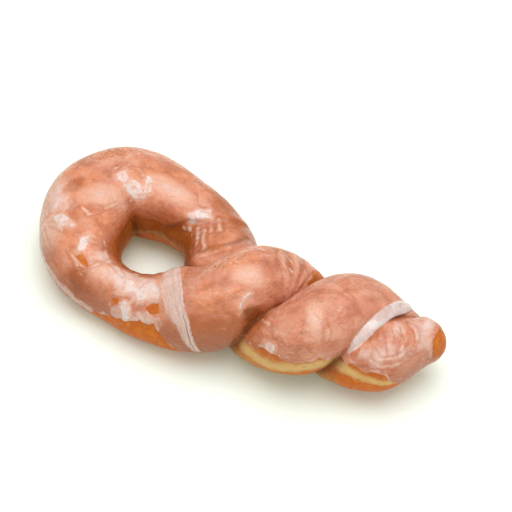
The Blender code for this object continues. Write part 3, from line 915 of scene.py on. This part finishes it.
def glaze_material():
    """Film colours from below: blotches, folds, plates, thin places, painted light and shade, half-set and
    white sugar.
    """
    glaze = Finish("sugar_glaze", {
        "Specular IOR Level": 0.22,
        "Coat Weight": 0.15,
        "Coat Roughness": 0.08,
        "Subsurface Weight": 0.12,
        "Subsurface Radius": (1, 0.5, 0.3),
        "Subsurface Scale": 0.0015,
    })
    attribute, step, times, plus, off = glaze.attribute, glaze.step, glaze.times, glaze.plus, glaze.off
    broad = glaze.noise(14, 2)
    middle = glaze.noise(4.5)
    fine = glaze.noise(1.1)
    mottle = glaze.noise(1.9, 4)
    flow = glaze.noise(4.6, 4.5, at=on_strand(glaze, 0.62))
    # The film itself: rose and orange, with blotches that follow the strand
    place = glaze.place()
    orange = times(step(glaze.part_of(place, 0), 34 * MM, 12 * MM, 1, 0.3), step(broad, 0.38, 0.58))
    grainy = step(attribute("grainy"), 0, 0.5, 0.9, 0.12)
    film = glaze.layered(
        glaze.mixed(orange, FILM_ROSE, FILM_ORANGE),
        (step(flow, 0.50, 0.62, 0.46), FILM_DARK_AND_SHADE),
        (step(flow, 0.47, 0.36, 0.42), FILM_PALE_AND_HIGHLIGHT),
        (times(grainy, step(mottle, 0.53, 0.64, 0.50)), FILM_DARK_AND_SHADE),
        (times(grainy, step(mottle, 0.46, 0.36, 0.40)), FILM_PALE_AND_HIGHLIGHT),
    )
    # Fine folds in the film that show as pale and dark lines, and pale specks of sugar
    fold = step(off(glaze.noise(3.2, 2, at=on_strand(glaze, 0.7)), 0.5), 0.022, 0)
    fold = times(fold, step(broad, 0.42, 0.58, 0.46))
    dark_fold = times(step(off(glaze.noise(4.4), 0.52), 0.016, 0), step(middle, 0.44, 0.58, 0.32))
    specks = times(step(fine, 0.58, 0.66), step(attribute("grainy"), 0, 0.5, 0.8))
    film = glaze.layered(film, (fold, FILM_PALE_AND_HIGHLIGHT), (dark_fold, FILM_DARK_AND_SHADE), (specks, SPECK_YELLOW))
    # Cracked plates of film, each a little paler or darker, with thin pale lines along some of their edges
    warp = {"Vector": place, "Scale": PLATE_WARP, "Detail": 3}
    warped = node(glaze.tree, "ShaderNodeTexNoise", warp).outputs["Color"]
    bent = node(glaze.tree, "ShaderNodeVectorMath", {0: warped, 3: WARP_REACH}, operation="SCALE").outputs[0]
    bent = node(glaze.tree, "ShaderNodeVectorMath", {0: place, 1: bent}, operation="ADD").outputs[0]
    plates = {"Vector": bent, "Scale": PLATES}
    facet = node(glaze.tree, "ShaderNodeTexVoronoi", plates).outputs["Color"]
    facet = node(glaze.tree, "ShaderNodeSeparateColor", {"Color": facet}).outputs[0]
    cracks = node(glaze.tree, "ShaderNodeTexVoronoi", plates, feature="DISTANCE_TO_EDGE").outputs["Distance"]
    crackled = times(step(cracks, 0.008, 0.035, 0, 1), step(glaze.noise(6, 2), 0.55, 0.62, 0.5))
    # Thin places; painted shade low down, on the hole's wall and in creases; pale clouds, partly a painted
    # highlight
    thin_and_shade = plus(attribute("thin_and_shade"), times(middle, 0.9))
    pit = plus(attribute("pit"), times(middle, 0.6))
    cloud_and_highlight = plus(attribute("cloud_and_highlight"), times(flow, 1.1))
    film = glaze.layered(
        film,
        (step(facet, 0.66, 0.93, 0.26), FILM_PALE_AND_HIGHLIGHT),
        (step(facet, 0.26, 0.06, 0.24), FILM_DARK_AND_SHADE),
        # Thin places, with painted shade on down- and far-facing sides and near the creases
        (step(thin_and_shade, 0.35, 1.2, 0.86), FILM_THIN_AND_SHADE),
        (crackled, FILM_PALE_AND_HIGHLIGHT),
        # Painted shade on the lower sides
        (times(attribute("lower_shade"), 0.70), FILM_DARK_AND_SHADE),
        # Painted shade on the hole's inner wall
        (times(attribute("inner"), 0.95), WALL_SHADE_BROWN),
        # Painted shade in the creases and at the pit
        (step(attribute("crease"), 0.2, 0.9, 0.88), CREASE_SHADE_BROWN),
        (step(pit, 0.40, 0.90, 0.75), CREASE_SHADE_BROWN),
        # Pale clouds, partly a painted highlight
        (step(cloud_and_highlight, 0.50, 1.05, 0.85), FILM_PALE_AND_HIGHLIGHT),
        (step(cloud_and_highlight, 1.05, 1.50, 0.60), MILK_PINK),
    )
    # Half-set sugar, painted light and shade on the ripples, crack lines, and pleats with painted shade in
    # hollows
    milky = plus(plus(attribute("milky"), times(flow, 5)), times(glaze.maths("SUBTRACT", mottle, 0.5), 6))
    ridge = attribute("ridge")
    to_crack = attribute("to_crack")
    to_pleat = attribute("to_pleat")
    parted = times(step(to_crack, 0.80, 0.25), step(glaze.noise(3.4), 0.36, 0.56, 1, 0.15))
    pleat = times(step(to_pleat, 1.35, 0.25), step(middle, 0.38, 0.56, 0.66, 0.3))
    film = glaze.layered(
        film,
        (step(milky, 1.8, 4.2, 0.66), MILK_PINK),
        (step(milky, 4.6, 7, 0.55), SUGAR_WHITE),
        # Painted highlight on the ripple crests and painted shade in their troughs
        (step(ridge, 0.30, 0.8, 0.75), FILM_PALE_AND_HIGHLIGHT),
        (step(ridge, -0.05, -0.6, 0.55), FILM_DARK_AND_SHADE),
        (step(off(to_crack, 1.5), 0.9, 0.1, 0.30), FILM_DARK_AND_SHADE),
        (times(parted, 0.78), CRACK_CREAM),
        # Painted shade in the hollows beside the pleats, then pale cream on the pleats, partly a painted
        # highlight
        (step(off(to_pleat, 1.9), 1.1, 0.2, 0.5), FILM_THIN_AND_SHADE),
        (pleat, CRACK_CREAM),
        # Painted shade along the far crease
        (times(attribute("far_crease"), 0.72), CREASE_SHADE_BROWN),
    )
    # White flakes with bright cores, the white under the pool, the streaked smear and the rim of the film
    torn = plus(attribute("white"), times(fine, 1.2))
    white = step(torn, 0.15, 0.65)
    core = times(white, step(glaze.noise(2.6), 0.36, 0.62, 1, 0.25))
    across = attribute("across_smear")
    lines = {"X": times(across, MM), "Y": times(glaze.part_of(place, 2), 0.12)}
    streaks = glaze.noise(0.8, 4, at=node(glaze.tree, "ShaderNodeCombineXYZ", lines).outputs[0])
    smear = times(step(attribute("smear"), 0, 0.6), step(across, -0.15, 0.25))
    split = times(step(off(across, 1.9), 0.30, 0.05), attribute("split"))
    rim = times(step(off(attribute("edge"), 0.9), 0.9, 0.3), step(middle, 0.45, 0.60, 0.65))
    film = glaze.layered(
        film,
        (step(torn, -1.6, 0.4, 0.6), FILM_PALE_AND_HIGHLIGHT),
        (core, SUGAR_WHITE),
        (step(attribute("pool"), -0.5, 0.5), SUGAR_WHITE),
        (times(smear, step(streaks, 0.30, 0.66, 1, 0.45)), SMEAR_CREAM),
        (times(split, 0.85), CREASE_SHADE_BROWN),
        (rim, MILK_PINK),
    )
    glaze.feed("Base Color", film)
    glaze.feed("Roughness", step(flow, 0.3, 0.7, 0.38, 0.18))
    # Relief, from the flakes' plates down to the finest grain
    relief = times(white, 0.3)
    heights = (fine, crackled, facet, flow, fold, mottle, middle, parted, times(smear, streaks))
    for height, share in zip(heights, (0.30, 0.35, 0.9, 1.3, 0.7, 0.6, 3.6, 0.6, 1.2)):
        relief = plus(relief, times(height, share))
    glaze.bump(relief, 0.8, 0.4)
    return glaze.material


glaze.data.materials.append(glaze_material())
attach(glaze, "root")

# The pool in the last crease
# Glaze that ran together in the crease between the last two turns and set there, thick, smooth and white.
# The line through its middle, and half its width and thickness there
POOL_PATH = ((78.8, 6.5, 25.3), (75.7, 2, 28.6), (72.2, -4.6, 32), (69.6, -13.3, 33.4), (67.6, -20.5, 32.3),
             (66.2, -25.2, 29.7), (65.4, -28.4, 26.8))
POOL_HALF_WIDTH = 4
POOL_HALF_THICKNESS = 1.35
POOL_WHITE = (0.64, 0.54, 0.51)
POOL_PINK = (0.57, 0.40, 0.35)
POOL_RINGS = 90
POOL_SIDES = 28


def pool_bead():
    """A bead along a spline: an ellipse lying across the crease, drawn in to a point at both ends."""
    line, _ = smooth_through(np.array(POOL_PATH), POOL_RINGS)
    ahead = unit(np.gradient(line, axis=0))
    across = unit(np.cross(ahead, (0.25, 0.1, 1)))
    upward = np.cross(across, ahead)
    share = np.linspace(-1, 1, POOL_RINGS)
    swell = np.sqrt(np.maximum(1 - np.abs(share) ** 2.4, 0)) * (1 - 0.22 * share)
    swell *= 1 + 0.10 * lattice_noise(line, 6, 41)
    swell = swell[1:-1, None, None]
    turn = np.linspace(0, 2 * np.pi, POOL_SIDES, endpoint=False)[None, :, None]
    rings = (
        line[1:-1, None]
        + POOL_HALF_WIDTH * swell * np.cos(turn) * across[1:-1, None]
        + POOL_HALF_THICKNESS * swell * np.sin(turn) * upward[1:-1, None]
    )
    mesh = bpy.data.meshes.new("glaze_pool")
    corners = np.vstack((rings.reshape(-1, 3), line[:1], line[-1:])) * MM
    mesh.from_pydata(corners.tolist(), [], tube_faces(POOL_RINGS - 2, POOL_SIDES))
    return placed("glaze_pool", mesh)


def thick_glaze():
    """White sugar with faint pink clouds, smooth and glossy."""
    sugar = Finish("thick_glaze", {
        "Roughness": 0.28,
        "Coat Weight": 0.3,
        "Coat Roughness": 0.12,
        "Subsurface Weight": 0.2,
        "Subsurface Radius": (1, 0.7, 0.6),
        "Subsurface Scale": 0.001,
    })
    sugar.feed("Base Color", sugar.mixed(sugar.step(sugar.noise(4), 0.42, 0.62), POOL_WHITE, POOL_PINK))
    return sugar.material


pool_piece = pool_bead()
pool_piece.data.materials.append(thick_glaze())
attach(pool_piece, "root")

# The stage
# A plain pale floor, a broad soft light overhead, a weak one from the near right, and a pale surround,
# as in a product photograph.
FLOOR_COLOUR = (0.87, 0.92, 0.87, 1)
FLOOR_HALF = 3
FLOOR_CAST = (0.62, 1, 0.45, 1)
FLOOR_GLOW = 0.07


def floor_piece():
    """One large square, lit a little from within so that its shadows stay soft and faintly green."""
    mesh = bpy.data.meshes.new("floor")
    corners = [(x * FLOOR_HALF, y * FLOOR_HALF, 0) for x, y in ((-1, -1), (1, -1), (1, 1), (-1, 1))]
    mesh.from_pydata(corners, [], [(0, 1, 2, 3)])
    mesh.materials.append(Finish("pale_floor", {
        "Base Color": FLOOR_COLOUR,
        "Roughness": 0.7,
        "Specular IOR Level": 0.2,
        "Emission Color": FLOOR_CAST,
        "Emission Strength": FLOOR_GLOW,
    }).material)
    return placed("floor", mesh)


floor_piece()


def turned(name, data, place, way):
    """A light or camera at a place, turned to look that way."""
    made = bpy.data.objects.new(name, data)
    made.location = place
    made.rotation_mode = "QUATERNION"
    made.rotation_quaternion = way.to_track_quat("-Z", "Y")
    bpy.context.scene.collection.objects.link(made)
    return made


def soft_light(name, place, size, power):
    """A square area light at a place, turned to face the doughnut."""
    lamp = bpy.data.lights.new(name, "AREA")
    lamp.shape = "SQUARE"
    lamp.size = size
    lamp.energy = power
    turned(name, lamp, place, -Vector(place))


# Each light's place and size in metres, and its power in watts
SOFTBOX = ((0.05, 0.08, 0.85), 0.85, 5.75)
FILL = ((0.45, -0.65, 0.55), 0.5, 0.9)
soft_light("overhead_softbox", *SOFTBOX)
soft_light("near_fill", *FILL)

# The surround is brighter towards the top: its strength at the horizon and overhead
SKY_LOW = 0.34
SKY_HIGH = 0.80
world = bpy.data.worlds.new("pale_room")
bpy.context.scene.world = world
world.use_nodes = True
sky = world.node_tree
facing = node(sky, "ShaderNodeTexCoord").outputs["Generated"]
up = node(sky, "ShaderNodeSeparateXYZ", {"Vector": facing}).outputs["Z"]
climb = {"Value": up, "From Min": 0, "From Max": 0.9, "To Min": SKY_LOW, "To Max": SKY_HIGH}
strength = node(sky, "ShaderNodeMapRange", climb).outputs["Result"]
sky.links.new(strength, sky.nodes["Background"].inputs["Strength"])
sky.nodes["Background"].inputs["Color"].default_value = (1, 1, 1, 1)
bpy.context.scene.view_settings.view_transform = "Standard"

# The camera
# From the near right, looking down at 48 degrees, with the doughnut lying across the middle of the frame.
CAMERA_AZIMUTH = 25
CAMERA_ELEVATION = 48
CAMERA_DISTANCE = 0.530
CAMERA_AIM = Vector((0.0061, 0.0092, 0.0200))
CAMERA_LENS = 85
CAMERA_SENSOR = 36
azimuth, elevation = math.radians(CAMERA_AZIMUTH), math.radians(CAMERA_ELEVATION)
back = Vector((
    math.sin(azimuth) * math.cos(elevation),
    -math.cos(azimuth) * math.cos(elevation),
    math.sin(elevation),
))
camera = turned("camera", bpy.data.cameras.new("camera"), CAMERA_AIM + back * CAMERA_DISTANCE, -back)
camera.data.lens = CAMERA_LENS
camera.data.sensor_width = CAMERA_SENSOR
bpy.context.scene.camera = camera
